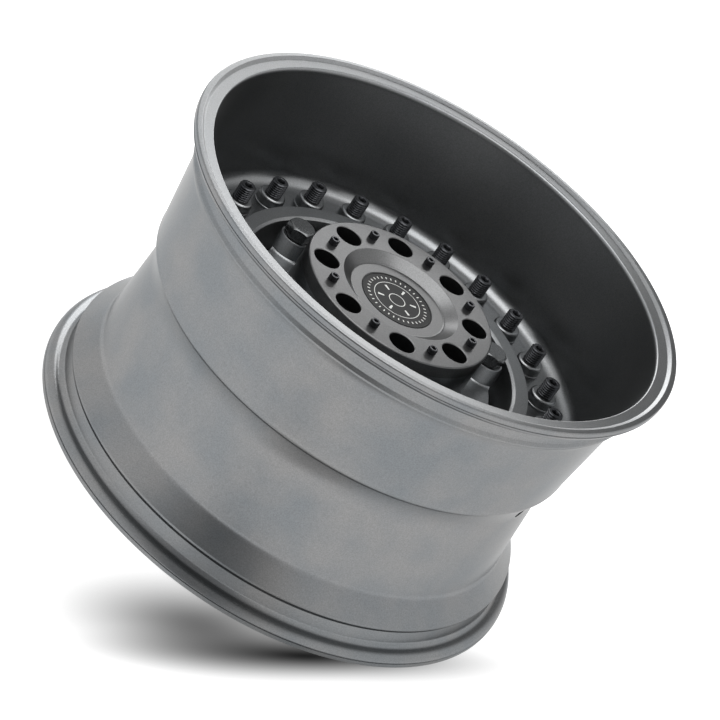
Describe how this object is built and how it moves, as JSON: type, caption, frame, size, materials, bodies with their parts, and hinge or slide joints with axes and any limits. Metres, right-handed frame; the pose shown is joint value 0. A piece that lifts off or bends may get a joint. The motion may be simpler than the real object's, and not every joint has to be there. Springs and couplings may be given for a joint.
{
  "type": "alloy wheel",
  "caption": "Deep dish off-road alloy wheel with a closed disc, a ring of threaded studs, hexagon bolts and a screwed hub plate with a dished cap.",
  "frame": {"origin": "centre of the hub mounting face, on the wheel's axis", "axes": "+Z along the wheel's axis towards the outboard face, +X through the first ring stud"},
  "size_m": [0.5473, 0.5474, 0.3318],
  "materials": {
    "cast_rim": "satin gunmetal paint",
    "plate": "satin gunmetal paint",
    "cap": "satin gunmetal paint",
    "badge": "smooth black",
    "fastener": "satin black"
  },
  "bodies": {
    "root": {"wheel_casting": "cast_rim", "hub_plate": "plate", "centre_cap": "cap", "cap_badge": "badge", "cap_screw_1": "fastener", "cap_screw_2": "fastener", "cap_screw_3": "fastener", "cap_screw_4": "fastener", "cap_screw_5": "fastener", "cap_screw_6": "fastener", "cap_screw_7": "fastener", "cap_screw_8": "fastener", "ring_stud_1": "fastener", "ring_stud_2": "fastener", "ring_stud_3": "fastener", "ring_stud_4": "fastener", "ring_stud_5": "fastener", "ring_stud_6": "fastener", "ring_stud_7": "fastener", "ring_stud_8": "fastener", "ring_stud_9": "fastener", "ring_stud_10": "fastener", "ring_stud_11": "fastener", "ring_stud_12": "fastener", "ring_stud_13": "fastener", "ring_stud_14": "fastener", "ring_stud_15": "fastener", "ring_stud_16": "fastener", "ring_stud_17": "fastener", "ring_stud_18": "fastener", "ring_stud_19": "fastener", "ring_stud_20": "fastener", "ring_stud_21": "fastener", "ring_stud_22": "fastener", "ring_stud_23": "fastener", "ring_stud_24": "fastener", "hex_bolt_1": "fastener", "hex_bolt_2": "fastener", "hex_bolt_3": "fastener", "hex_bolt_4": "fastener", "hex_bolt_5": "fastener", "hex_bolt_6": "fastener"}
  },
  "joints": []
}
